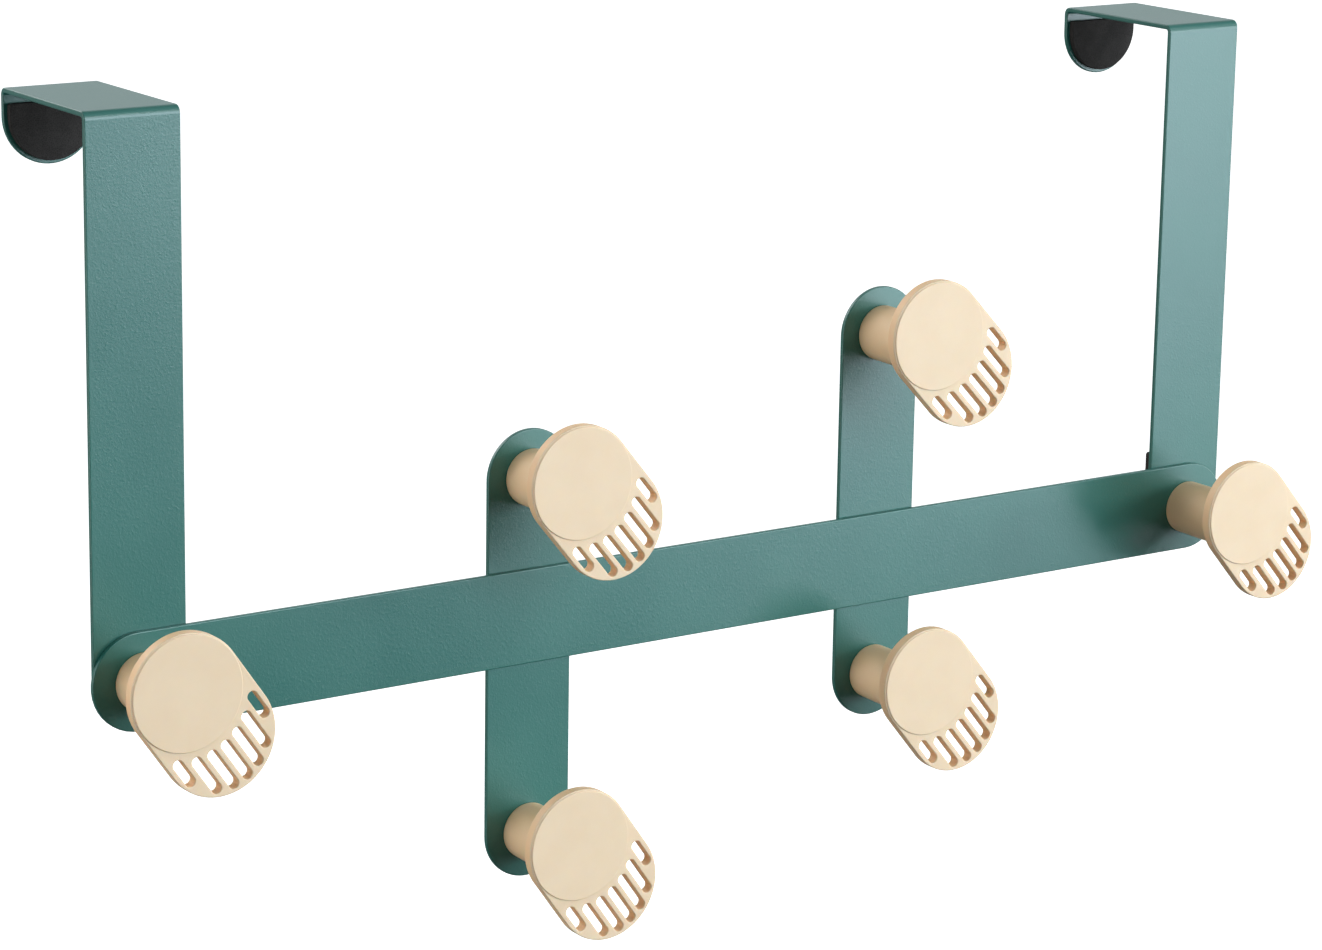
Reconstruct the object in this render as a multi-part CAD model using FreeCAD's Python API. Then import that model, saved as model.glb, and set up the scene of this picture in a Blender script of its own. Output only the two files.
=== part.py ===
import FreeCAD, Part
import math
import os

# Over-door hook rack: two folded straps, a cross bar, two uprights and six knobs.
# X runs along the bar, -Y points into the room and +Z is up.
# The origin is the door's top front edge, midway between the straps.
# All sizes are millimetres.

# Sheet steel strips
SHEET = 1.5
BEND_RADIUS = 0.8
EDGE_ROUND = 0.35
STRAP_WIDTH = 28.0
BAR_HEIGHT = 28.0
UPRIGHT_WIDTH = 28.0

# Straps: the gap between the legs, the drop from the web's underside to the bar's middle line,
# and the straight length of the rear leg between its bend and its half-round end
DOOR_GAP = 48.5
AXIS_DROP = 154.5
REAR_LEG_STRAIGHT = 5.7

# Cross bar and uprights: the rises are measured from the bar's middle line
COLUMNS = 4
COLUMN_PITCH = 124.0
BAR_OVERHANG = 1.0
UPRIGHT_LENGTH = 134.0
LEFT_UPRIGHT_RISE = 55.0
RIGHT_UPRIGHT_RISE = 84.0

# Knob moulding
KNOB_PROJECTION = 36.0
STEM_RADIUS = 8.3
STEM_DRAFT = 0.4
STEM_FLARE = 1.0
HEAD_RADIUS = 16.5
HEAD_CENTRES = 16.5
PLATE_THICKNESS = 3.0
PLATE_ROUND = 0.5
DISC_RISE = 0.8
DISC_MARGIN = 0.35
DISC_ROUND = 0.35

# Slots in the knob's plate: the rim lies outside them and the land between them and the disc
SLOT_WIDTH = 3.0
SLOT_PITCH = 4.5
SLOT_RIM = 1.0
SLOT_LAND = 1.85

# Turn of each knob's slotted end from straight down towards +X, in degrees, as tightened
KNOB_TURNS = (35.0, 39.5, 35.5, 43.5, 39.5, 41.0)

# Screw behind each knob
SCREW_RADIUS = 2.0
SCREW_REACH = 12.0
SCREW_HEAD_SHOULDER = 1.8
SCREW_HEAD_HEIGHT = 2.2
SCREW_HEAD_ROUND = 1.4
RECESS_SPAN = 4.2
RECESS_WIDTH = 0.9
RECESS_DEPTH = 1.2
HOLE_CLEARANCE = 0.25

# Thread insert in each stem
THREAD_CLEARANCE = 0.05
INSERT_WALL = 1.2
INSERT_LENGTH = 10.0
PILOT_EXTRA = 3.0

# Pads that keep the steel and the screws' heads off the door
REAR_PAD_THICKNESS = 2.0
REAR_PAD_RIM = 1.2
REAR_PAD_TOP_GAP = 2.2
BACK_PAD_SPARE = 0.3
BACK_PAD_RIM = 0.8
BACK_PAD_RISE = 4.5
BACK_PAD_HOLE_CLEARANCE = 1.4

# How far the left and the right back pad are stuck off the middle of their straps
BACK_PAD_OFFSETS = (0.6, 0.0)

# Places and sizes worked out from those above
COLUMN_X = tuple((column - (COLUMNS - 1) / 2.0) * COLUMN_PITCH for column in range(COLUMNS))
STRIP_FRONT_Y = -SHEET
BAR_FRONT_Y = STRIP_FRONT_Y - SHEET
LEFT_UPRIGHT_TOP_Z = LEFT_UPRIGHT_RISE - AXIS_DROP
RIGHT_UPRIGHT_TOP_Z = RIGHT_UPRIGHT_RISE - AXIS_DROP
STEM_LENGTH = KNOB_PROJECTION - DISC_RISE - PLATE_THICKNESS
HOLE_RADIUS = SCREW_RADIUS + HOLE_CLEARANCE
INSERT_BORE = SCREW_RADIUS + THREAD_CLEARANCE
INSERT_RADIUS = INSERT_BORE + INSERT_WALL
SCREW_HEAD_RADIUS = SCREW_RADIUS + SCREW_HEAD_SHOULDER
BACK_PAD_THICKNESS = SCREW_HEAD_HEIGHT + BACK_PAD_SPARE

# Two faces meet at a corner when the cosine between their normals is under this
CORNER_COSINE = 0.5

# Largest share of a wall that a round on its edge may take
ROUND_SHARE = 0.7


def point(x, z, y=0.0):
    return FreeCAD.Vector(x, y, z)


def on_circle(centre, radius, degrees):
    """The pair of coordinates at an angle on a circle, from the first axis towards the second."""
    angle = math.radians(degrees)
    return (centre[0] + radius * math.cos(angle), centre[1] + radius * math.sin(angle))


def rod(x, z, radius, y_low, length):
    """Cylinder along +Y."""
    return Part.makeCylinder(radius, length, point(x, z, y_low), FreeCAD.Vector(0, 1, 0))


def plate(edges, y_low, thickness):
    """Solid of a closed outline in the XZ plane, from y_low towards +Y."""
    face = Part.Face(Part.Wire(edges))
    face.translate(FreeCAD.Vector(0, y_low, 0))
    return face.extrude(FreeCAD.Vector(0, thickness, 0))


def capsule(first, second, radius, y_low, thickness):
    """Plate with two parallel sides and a half-round end about each of two (x, z) centres."""
    along = math.degrees(math.atan2(second[1] - first[1], second[0] - first[0]))
    a = point(*on_circle(first, radius, along + 90.0))
    b = point(*on_circle(second, radius, along + 90.0))
    c = point(*on_circle(second, radius, along - 90.0))
    d = point(*on_circle(first, radius, along - 90.0))
    far_tip = point(*on_circle(second, radius, along))
    near_tip = point(*on_circle(first, radius, along + 180.0))
    edges = [
        Part.LineSegment(a, b).toShape(),
        Part.Arc(b, far_tip, c).toShape(),
        Part.LineSegment(c, d).toShape(),
        Part.Arc(d, near_tip, a).toShape(),
    ]
    return plate(edges, y_low, thickness)


def tongue(x_mid, z_top, z_centre, radius, y_low, thickness):
    """Plate with a square top edge and a half-round lower end about (x_mid, z_centre)."""
    top_left = point(x_mid - radius, z_top)
    top_right = point(x_mid + radius, z_top)
    right = point(x_mid + radius, z_centre)
    left = point(x_mid - radius, z_centre)
    tip = point(x_mid, z_centre - radius)
    edges = [
        Part.LineSegment(top_left, top_right).toShape(),
        Part.LineSegment(top_right, right).toShape(),
        Part.Arc(right, tip, left).toShape(),
        Part.LineSegment(left, top_left).toShape(),
    ]
    return plate(edges, y_low, thickness)


def drilled(solid, places, radius, y_low, length):
    for x, z in places:
        solid = solid.cut(rod(x, z, radius, y_low, length))
    return solid


def face_normal(face, spot):
    u, v = face.Surface.parameter(spot)
    return face.normalAt(u, v)


def corner_edges(solid):
    """Edges where two faces of a solid meet at a corner."""
    found = []
    for edge in solid.Edges:
        faces = solid.ancestorsOfType(edge, Part.Face)
        if len(faces) != 2:
            continue
        spot = edge.valueAt((edge.FirstParameter + edge.LastParameter) / 2.0)
        cosine = face_normal(faces[0], spot).dot(face_normal(faces[1], spot))
        if abs(cosine) < CORNER_COSINE:
            found.append(edge)
    return found


def rounded(solid, radius, wall):
    """The solid with every corner rounded, by half its wall at most."""
    return solid.makeFillet(min(radius, wall * ROUND_SHARE / 2.0), corner_edges(solid))


def rod_rounded_at(x, z, radius, y_low, y_high, y_round, round_radius):
    """Cylinder along Y with the edge of its end at y_round rounded."""
    solid = rod(x, z, radius, y_low, y_high - y_low)
    rim = [edge for edge in corner_edges(solid) if math.isclose(edge.CenterOfMass.y, y_round, abs_tol=1e-6)]
    return solid.makeFillet(min(round_radius, (y_high - y_low) * ROUND_SHARE), rim)


def bend(x, y_centre, radius, start, end):
    """Arc of a bend in the plane at x, about y_centre, between two angles from +Y towards +Z."""
    centre = (y_centre, -BEND_RADIUS)
    spots = [on_circle(centre, radius, degrees) for degrees in (start, (start + end) / 2.0, end)]
    return Part.Arc(*[FreeCAD.Vector(x, y, z) for y, z in spots]).toShape()


def straight(x, y_start, z_start, y_end, z_end):
    """Line in the plane at x."""
    start = FreeCAD.Vector(x, y_start, z_start)
    return Part.LineSegment(start, FreeCAD.Vector(x, y_end, z_end)).toShape()


def bridge(x_mid):
    """Web over the door with its two bends: one section, run across the strap's width."""
    x = x_mid - STRAP_WIDTH / 2.0
    front = BEND_RADIUS
    rear = DOOR_GAP - BEND_RADIUS
    edges = [
        bend(x, front, BEND_RADIUS + SHEET, 180.0, 90.0),
        straight(x, front, SHEET, rear, SHEET),
        bend(x, rear, BEND_RADIUS + SHEET, 90.0, 0.0),
        straight(x, DOOR_GAP + SHEET, -BEND_RADIUS, DOOR_GAP, -BEND_RADIUS),
        bend(x, rear, BEND_RADIUS, 0.0, 90.0),
        straight(x, rear, 0.0, front, 0.0),
        bend(x, front, BEND_RADIUS, 90.0, 180.0),
        straight(x, 0.0, -BEND_RADIUS, -SHEET, -BEND_RADIUS),
    ]
    return Part.Face(Part.Wire(edges)).extrude(FreeCAD.Vector(STRAP_WIDTH, 0, 0))


def rear_leg_centre_z():
    """Height of the centre of the rear leg's half-round end."""
    return -BEND_RADIUS - REAR_LEG_STRAIGHT


def strap(x_mid):
    """One strip folded twice: long front leg, web and short rear leg."""
    radius = STRAP_WIDTH / 2.0
    front_leg = tongue(x_mid, -BEND_RADIUS, -AXIS_DROP, radius, STRIP_FRONT_Y, SHEET)
    rear_leg = tongue(x_mid, -BEND_RADIUS, rear_leg_centre_z(), radius, DOOR_GAP, SHEET)
    folded = bridge(x_mid).fuse([front_leg, rear_leg]).removeSplitter().Solids[0]
    folded = rounded(folded, EDGE_ROUND, SHEET)
    return drilled(folded, [(x_mid, -AXIS_DROP)], HOLE_RADIUS, STRIP_FRONT_Y, SHEET)


def cross_bar():
    """Strip with half-round ends that reaches just past the outer edges of the straps."""
    radius = BAR_HEIGHT / 2.0
    reach = COLUMN_X[-1] + STRAP_WIDTH / 2.0 + BAR_OVERHANG - radius
    strip = capsule((-reach, -AXIS_DROP), (reach, -AXIS_DROP), radius, BAR_FRONT_Y, SHEET)
    holes = [(COLUMN_X[0], -AXIS_DROP), (COLUMN_X[-1], -AXIS_DROP)]
    return drilled(rounded(strip, EDGE_ROUND, SHEET), holes, HOLE_RADIUS, BAR_FRONT_Y, SHEET)


def upright_holes(x_mid, z_top):
    """Hole places at the centres of the half-round ends, upper one first."""
    radius = UPRIGHT_WIDTH / 2.0
    return [(x_mid, z_top - radius), (x_mid, z_top - UPRIGHT_LENGTH + radius)]


def upright(x_mid, z_top):
    """Strip with half-round ends that stands behind the cross bar."""
    holes = upright_holes(x_mid, z_top)
    strip = capsule(holes[0], holes[1], UPRIGHT_WIDTH / 2.0, STRIP_FRONT_Y, SHEET)
    return drilled(rounded(strip, EDGE_ROUND, SHEET), holes, HOLE_RADIUS, STRIP_FRONT_Y, SHEET)


def knob_places():
    """(x, z, y of the steel that it stands on) of each knob, from left to right and top to bottom."""
    places = [(COLUMN_X[0], -AXIS_DROP, BAR_FRONT_Y)]
    for x_mid, z_top in ((COLUMN_X[1], LEFT_UPRIGHT_TOP_Z), (COLUMN_X[2], RIGHT_UPRIGHT_TOP_Z)):
        places += [(x, z, STRIP_FRONT_Y) for x, z in upright_holes(x_mid, z_top)]
    places.append((COLUMN_X[-1], -AXIS_DROP, BAR_FRONT_Y))
    return places


def stem():
    """Round stem from the steel at y = 0 to the back of the plate, flared where it meets the plate."""
    top = STEM_RADIUS + STEM_DRAFT
    root = on_circle((top + STEM_FLARE, STEM_FLARE - STEM_LENGTH), STEM_FLARE, 225.0)
    base_centre = point(0, 0)
    base = point(STEM_RADIUS, 0)
    neck = point(top, 0, STEM_FLARE - STEM_LENGTH)
    lip = point(top + STEM_FLARE, 0, -STEM_LENGTH)
    plate_centre = point(0, 0, -STEM_LENGTH)
    edges = [
        Part.LineSegment(base_centre, base).toShape(),
        Part.LineSegment(base, neck).toShape(),
        Part.Arc(neck, point(root[0], 0, root[1]), lip).toShape(),
        Part.LineSegment(lip, plate_centre).toShape(),
        Part.LineSegment(plate_centre, base_centre).toShape(),
    ]
    return Part.Face(Part.Wire(edges)).revolve(base_centre, FreeCAD.Vector(0, 1, 0), 360)


def head():
    """Long round-ended plate behind a raised disc that fills its upper end."""
    back_y = -STEM_LENGTH
    front_y = back_y - PLATE_THICKNESS
    upper = HEAD_CENTRES / 2.0
    body = capsule((0.0, -upper), (0.0, upper), HEAD_RADIUS, front_y, PLATE_THICKNESS)
    body = rounded(body, PLATE_ROUND, PLATE_THICKNESS)
    disc_y = front_y - DISC_RISE
    disc_base_y = (front_y + back_y) / 2.0
    disc = rod_rounded_at(0.0, upper, HEAD_RADIUS - DISC_MARGIN, disc_y, disc_base_y, disc_y, DISC_ROUND)
    return body.fuse(disc)


def slot_rows():
    """(x, upper z, lower z) of each slot's end centres, for the slots that find room."""
    upper_reach = HEAD_RADIUS - DISC_MARGIN + SLOT_LAND + SLOT_WIDTH / 2.0
    lower_reach = HEAD_RADIUS - SLOT_RIM - SLOT_WIDTH / 2.0
    each_side = int(min(upper_reach, lower_reach) // SLOT_PITCH)
    rows = []
    for column in range(-each_side, each_side + 1):
        x = column * SLOT_PITCH
        upper = HEAD_CENTRES / 2.0 - math.sqrt(upper_reach ** 2 - x ** 2)
        lower = -HEAD_CENTRES / 2.0 - math.sqrt(lower_reach ** 2 - x ** 2)
        if upper > lower:
            rows.append((x, upper, lower))
    return rows


def slots():
    """Cutters that run from in front of the plate to the start of the stem's flare."""
    low_y = -KNOB_PROJECTION
    depth = STEM_FLARE - STEM_LENGTH - low_y
    radius = SLOT_WIDTH / 2.0
    return [capsule((x, lower), (x, upper), radius, low_y, depth) for x, upper, lower in slot_rows()]


def knob():
    """One moulding about its screw's axis, with its slotted end straight down."""
    pilot_length = max(INSERT_LENGTH, SCREW_REACH) + PILOT_EXTRA
    pocket = rod(0, 0, INSERT_RADIUS, -INSERT_LENGTH, INSERT_LENGTH)
    pilot = rod(0, 0, HOLE_RADIUS, -pilot_length, pilot_length)
    return stem().fuse(head()).cut(slots() + [pocket, pilot]).removeSplitter().Solids[0]


def thread_insert():
    """Brass bush moulded into the stem's base."""
    body = rod(0, 0, INSERT_RADIUS, -INSERT_LENGTH, INSERT_LENGTH)
    return body.cut(rod(0, 0, INSERT_BORE, -INSERT_LENGTH, INSERT_LENGTH))


def screw():
    """Pan-head screw with a cross recess, pointing at -Y, with the underside of its head at y = 0."""
    cap = rod_rounded_at(0, 0, SCREW_HEAD_RADIUS, 0, SCREW_HEAD_HEIGHT, SCREW_HEAD_HEIGHT, SCREW_HEAD_ROUND)
    half = (RECESS_SPAN - RECESS_WIDTH) / 2.0
    floor_y = SCREW_HEAD_HEIGHT - RECESS_DEPTH
    arms = [((-half, 0), (half, 0)), ((0, -half), (0, half))]
    recess = [capsule(first, second, RECESS_WIDTH / 2.0, floor_y, RECESS_DEPTH) for first, second in arms]
    return cap.cut(recess).fuse(rod(0, 0, SCREW_RADIUS, -SCREW_REACH, SCREW_REACH)).removeSplitter()


def placed(shape, place, turn=0.0):
    """A copy turned about the screw's axis and put at (x, z, y)."""
    x, z, y = place
    copy = shape.copy()
    copy.rotate(FreeCAD.Vector(0, 0, 0), FreeCAD.Vector(0, 1, 0), -turn)
    copy.translate(point(x, z, y))
    return copy


def rear_pad(x_mid):
    """Half-round pad on the door side of a rear leg."""
    radius = STRAP_WIDTH / 2.0 - REAR_PAD_RIM
    top = -BEND_RADIUS - REAR_PAD_TOP_GAP
    return tongue(x_mid, top, rear_leg_centre_z(), radius, DOOR_GAP - REAR_PAD_THICKNESS, REAR_PAD_THICKNESS)


def back_pad(x_mid, offset):
    """Pad behind the lower end of a strap, with a hole that clears the screw's head."""
    radius = STRAP_WIDTH / 2.0 - BACK_PAD_RIM
    top = BAR_HEIGHT / 2.0 + BACK_PAD_RISE - AXIS_DROP
    pad = tongue(x_mid + offset, top, -AXIS_DROP, radius, 0.0, BACK_PAD_THICKNESS)
    hole_radius = SCREW_HEAD_RADIUS + BACK_PAD_HOLE_CLEARANCE
    return drilled(pad, [(x_mid, -AXIS_DROP)], hole_radius, 0.0, BACK_PAD_THICKNESS)


def model():
    """Every part by the name of its node."""
    places = knob_places()
    parts = {
        "cross_bar": cross_bar(),
        "left_upright": upright(COLUMN_X[1], LEFT_UPRIGHT_TOP_Z),
        "right_upright": upright(COLUMN_X[2], RIGHT_UPRIGHT_TOP_Z),
        "knob_screws": Part.makeCompound([placed(screw(), (x, z, 0.0)) for x, z, y in places]),
        "thread_inserts": Part.makeCompound([placed(thread_insert(), place) for place in places]),
    }
    for side, x_mid, offset in zip(("left", "right"), (COLUMN_X[0], COLUMN_X[-1]), BACK_PAD_OFFSETS):
        parts[side + "_strap"] = strap(x_mid)
        parts[side + "_rear_pad"] = rear_pad(x_mid)
        parts[side + "_back_pad"] = back_pad(x_mid, offset)
    moulding = knob()
    for number, (place, turn) in enumerate(zip(places, KNOB_TURNS), start=1):
        parts["knob_%d" % number] = placed(moulding, place, turn)
    return parts


def main():
    os.makedirs("parts", exist_ok=True)
    for node, shape in model().items():
        shape.exportStep("parts/%s.step" % node)
        print(node, "solids", len(shape.Solids), "volume", round(shape.Volume, 1), "valid", shape.isValid())


main()
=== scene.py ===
"""Over-door hook rack: finishes, moulded knobs, foam pads and a soft studio round the fixed frame.

Lengths are in millimetres and angles in degrees, and mm() turns a length into Blender's metres.
"""
import logging
import math
from dataclasses import dataclass
from enum import Enum
from typing import Any, Iterable, Sequence

import bmesh
import bpy
from mathutils import Matrix, Quaternion, Vector


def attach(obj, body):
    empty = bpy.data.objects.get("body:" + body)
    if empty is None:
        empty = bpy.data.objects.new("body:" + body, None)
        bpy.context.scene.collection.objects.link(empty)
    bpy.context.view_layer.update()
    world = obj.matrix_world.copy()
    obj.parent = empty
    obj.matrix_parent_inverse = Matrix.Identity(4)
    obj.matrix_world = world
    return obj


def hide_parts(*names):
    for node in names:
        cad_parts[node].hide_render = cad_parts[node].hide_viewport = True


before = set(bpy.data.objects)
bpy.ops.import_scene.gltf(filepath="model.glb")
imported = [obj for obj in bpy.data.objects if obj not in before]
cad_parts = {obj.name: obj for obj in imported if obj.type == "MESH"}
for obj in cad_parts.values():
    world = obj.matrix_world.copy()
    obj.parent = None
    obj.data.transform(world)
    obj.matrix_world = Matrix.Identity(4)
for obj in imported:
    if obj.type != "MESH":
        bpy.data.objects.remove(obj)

LOG = logging.getLogger("door_rack")
IMAGE_WIDTH = 1322
IMAGE_HEIGHT = 950
METRES_PER_MM = 0.001
MERGE_DISTANCE = 0.004
Colour = tuple[float, float, float]
Point = tuple[float, float, float]
Ring = tuple[float, float]
AnyRing = tuple[Any, Any]
Socket = bpy.types.NodeSocket
Corners = list[bmesh.types.BMVert]
WHITE: Colour = (1.0, 1.0, 1.0)


def mm(length: float) -> float:
    """Turns millimetres into metres."""
    return length * METRES_PER_MM


def quarter(steps: int) -> list[float]:
    """The angles from nought to a right angle in equal steps, in radians."""
    return [math.radians(90.0 * step / steps) for step in range(steps + 1)]


def opaque(colour: Colour) -> tuple[float, float, float, float]:
    """Gives a colour an alpha of one."""
    return (*colour, 1.0)


class Slot(Enum):
    """The record's material slots of the pieces that are made here."""

    KNOB = "knob"
    PAD = "pad"


class Term:
    """A number socket that builds Math nodes when it is used in an expression."""

    def __init__(self, work: "NodeWork", socket: Socket) -> None:
        """Wraps a socket of a tree.

        Args:
            work: the tree that the socket is in.
            socket: the output socket to wrap.
        """
        self.work = work
        self.socket = socket

    def _math(self, operation: str, *values: Any) -> "Term":
        """Adds one Math node.

        Args:
            operation: the Math node's operation.
            values: its inputs, numbers or terms.

        Returns:
            The result as a term.
        """
        node = self.work.node("ShaderNodeMath", {"operation": operation}, dict(enumerate(values)))
        return Term(self.work, node.outputs[0])

    def __add__(self, other: Any) -> "Term":
        """Adds."""
        return self._math("ADD", self, other)

    def __radd__(self, other: Any) -> "Term":
        """Adds, reflected."""
        return self._math("ADD", other, self)

    def __sub__(self, other: Any) -> "Term":
        """Subtracts."""
        return self._math("SUBTRACT", self, other)

    def __rsub__(self, other: Any) -> "Term":
        """Subtracts, reflected."""
        return self._math("SUBTRACT", other, self)

    def __mul__(self, other: Any) -> "Term":
        """Multiplies."""
        return self._math("MULTIPLY", self, other)

    def __rmul__(self, other: Any) -> "Term":
        """Multiplies, reflected."""
        return self._math("MULTIPLY", other, self)

    def __gt__(self, other: Any) -> "Term":
        """One where this is greater, or else zero."""
        return self._math("GREATER_THAN", self, other)

    def root(self) -> "Term":
        """Square root."""
        return self._math("SQRT", self)

    def sine(self) -> "Term":
        """Sine of an angle in radians."""
        return self._math("SINE", self)

    def ramp(self, low: float, high: float) -> "Term":
        """Smooth step from zero at low to one at high.

        Args:
            low: where the step starts.
            high: where it ends.

        Returns:
            The step as a term.
        """
        node = self.work.node(
            "ShaderNodeMapRange",
            {"interpolation_type": "SMOOTHSTEP"},
            {"Value": self, "From Min": low, "From Max": high},
        )
        return Term(self.work, node.outputs["Result"])


class NodeWork:
    """Builds nodes of one tree, for materials, the world and Geometry Nodes alike."""

    def __init__(self, tree: bpy.types.NodeTree) -> None:
        """Takes the tree to build in."""
        self.tree = tree

    def feed(self, socket: Socket, value: Any) -> None:
        """Sets or links one input.

        Args:
            socket: the input.
            value: a number, colour, term, node, socket, or a list of sockets for a joining input.
        """
        if isinstance(value, list):
            for one in value:
                self.feed(socket, one)
        elif isinstance(value, Term):
            self.tree.links.new(value.socket, socket)
        elif isinstance(value, bpy.types.Node):
            self.tree.links.new(value.outputs[0], socket)
        elif isinstance(value, Socket):
            self.tree.links.new(value, socket)
        else:
            socket.default_value = value

    def node(self, kind: str, settings: dict[str, Any] | None = None,
             sockets: dict[Any, Any] | None = None) -> bpy.types.Node:
        """Adds a node of any kind.

        Args:
            kind: the node's type name.
            settings: its own settings, which are set before its sockets.
            sockets: values or links of its inputs, by name or by number.

        Returns:
            The node.
        """
        made = self.tree.nodes.new(kind)
        for name, value in (settings or {}).items():
            setattr(made, name, value)
        for key, value in (sockets or {}).items():
            self.feed(made.inputs[key], value)
        return made

    def term(self, kind: str, settings: dict[str, Any] | None = None,
             sockets: dict[Any, Any] | None = None, output: Any = 0) -> Term:
        """Adds a node and wraps one of its outputs as a term."""
        return Term(self, self.node(kind, settings, sockets).outputs[output])


class Finish:
    """What every finish shares: a named material built round one Principled shader."""

    name: str = "finish"

    def build(self, work: NodeWork, place: Socket) -> dict[str, Any]:
        """Builds the finish's own nodes.

        Args:
            work: the material's tree.
            place: the object coordinates, in metres.

        Returns:
            The Principled shader's inputs by name.
        """
        raise NotImplementedError

    def material(self) -> bpy.types.Material:
        """Makes the material, or gives back the one that was made before."""
        ready = bpy.data.materials.get(self.name)
        if ready:
            return ready
        made = bpy.data.materials.new(self.name)
        made.use_nodes = True
        made.node_tree.nodes.clear()
        work = NodeWork(made.node_tree)
        place = work.node("ShaderNodeTexCoord").outputs["Object"]
        shader = work.node("ShaderNodeBsdfPrincipled", None, self.build(work, place))
        work.node("ShaderNodeOutputMaterial", None, {"Surface": shader})
        return made


def grain(work: NodeWork, place: Socket, size: float, detail: float = 2.0,
          roughness: float = 0.5) -> Term:
    """Noise from zero to one with features of a given size.

    Args:
        work: the tree.
        place: the coordinates.
        size: the features' size in millimetres.
        detail: the number of finer layers.
        roughness: how strong the finer layers are.

    Returns:
        The noise as a term.
    """
    return work.term("ShaderNodeTexNoise", None,
                     {"Vector": place, "Scale": 1.0 / mm(size), "Detail": detail, "Roughness": roughness})


def blend(work: NodeWork, factor: Term, first: Any, second: Any) -> Socket:
    """Mixes two colours by a term.

    Args:
        work: the tree.
        factor: zero for the first colour and one for the second.
        first: the first colour, or a colour socket.
        second: the second colour, or a colour socket.

    Returns:
        The mixed colour's socket.
    """
    ends = [opaque(end) if isinstance(end, tuple) else end for end in (first, second)]
    node = work.node("ShaderNodeMix", {"data_type": "RGBA"}, {0: factor, 6: ends[0], 7: ends[1]})
    return node.outputs[2]


def relief(work: NodeWork, height: Term, depth: float) -> Socket:
    """Turns a height from zero to one into a bumped normal.

    Args:
        work: the tree.
        height: the height.
        depth: the height of one in millimetres.

    Returns:
        The normal's socket.
    """
    return work.node("ShaderNodeBump", None, {"Height": height, "Distance": mm(depth)}).outputs[0]


@dataclass(frozen=True)
class PowderCoat(Finish):
    """Satin powder coat with a fine even texture."""

    name: str = "deep_green_powder_coat"
    colour: Colour = (0.012, 0.104, 0.083)
    pale: Colour = (0.021, 0.123, 0.098)
    gloss_roughness: float = 0.33
    pebble_size: float = 0.55
    speck_size: float = 0.9
    dust_size: float = 0.16
    cloud_size: float = 38.0
    depth: float = 0.045

    def build(self, work: NodeWork, place: Socket) -> dict[str, Any]:
        """Builds pebbled paint with slow changes of tone."""
        pebbles = grain(work, place, self.pebble_size, detail=1.0, roughness=0.4)
        dust = grain(work, place, self.dust_size, detail=1.0)
        cloud = grain(work, place, self.cloud_size)
        speck = grain(work, place, self.speck_size, detail=1.0).ramp(0.56, 0.72)
        tone = cloud.ramp(0.3, 0.7) * 0.55 + pebbles * 0.35 + speck * 0.1
        return {
            "Base Color": blend(work, tone, self.colour, self.pale),
            "Roughness": self.gloss_roughness + (dust - 0.5) * 0.12 + (cloud - 0.5) * 0.06,
            "IOR": 1.6,
            "Normal": relief(work, pebbles * 0.55 + speck * 0.2 + dust * 0.25, self.depth),
        }


@dataclass(frozen=True)
class MouldedPlastic(Finish):
    """Matte moulded plastic with a spark-eroded skin."""

    name: str = "cream_moulded_plastic"
    colour: Colour = (0.676, 0.524, 0.353)
    warm: Colour = (0.648, 0.490, 0.319)
    # Painted shade: a warmer, darker tone for the slot walls and plate edges behind the face, standing in
    # for shade and warm bounce light.
    painted_recess_shade: Colour = (0.80, 0.54, 0.31)
    # Painted shade: the stem and the plate's back under the head, tinted for shade and warm bounce light.
    stem: Colour = (0.76, 0.54, 0.32)
    recess_shade_from: float = 0.05
    recess_shade_full: float = 0.9
    stem_shade_from: float = 2.7
    stem_shade_full: float = 3.4
    scatter: Colour = (1.0, 0.5, 0.25)
    scatter_reach: float = 1.5
    skin_size: float = 0.14
    pore_size: float = 0.42
    flow_size: float = 9.0
    depth: float = 0.018

    def build(self, work: NodeWork, place: Socket) -> dict[str, Any]:
        """Builds a fine eroded skin with faint flow marks, and painted shade: a warmer, darker colour on
        the walls behind the face and on the stem, standing in for shade and warm bounce light there.
        """
        skin = grain(work, place, self.skin_size, detail=1.0)
        pores = grain(work, place, self.pore_size)
        flow = grain(work, place, self.flow_size, detail=3.0)
        tone = flow.ramp(0.25, 0.75) * 0.6 + pores * 0.4
        # The depth behind the face sets where the painted shade goes: first the walls, then the stem.
        behind = work.term("ShaderNodeAttribute", {"attribute_name": "depth"}, None, "Fac")
        face = blend(work, tone, self.colour, self.warm)
        edge = blend(work, behind.ramp(mm(self.recess_shade_from), mm(self.recess_shade_full)), face, self.painted_recess_shade)
        return {
            "Base Color": blend(work, behind.ramp(mm(self.stem_shade_from), mm(self.stem_shade_full)), edge, self.stem),
            "Roughness": 0.52 + (skin - 0.5) * 0.14 + (flow - 0.5) * 0.08,
            "IOR": 1.49,
            "Subsurface Weight": 0.25,
            "Subsurface Radius": self.scatter,
            "Subsurface Scale": mm(self.scatter_reach),
            "Normal": relief(work, skin * 0.6 + pores * 0.4, self.depth),
        }


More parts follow.
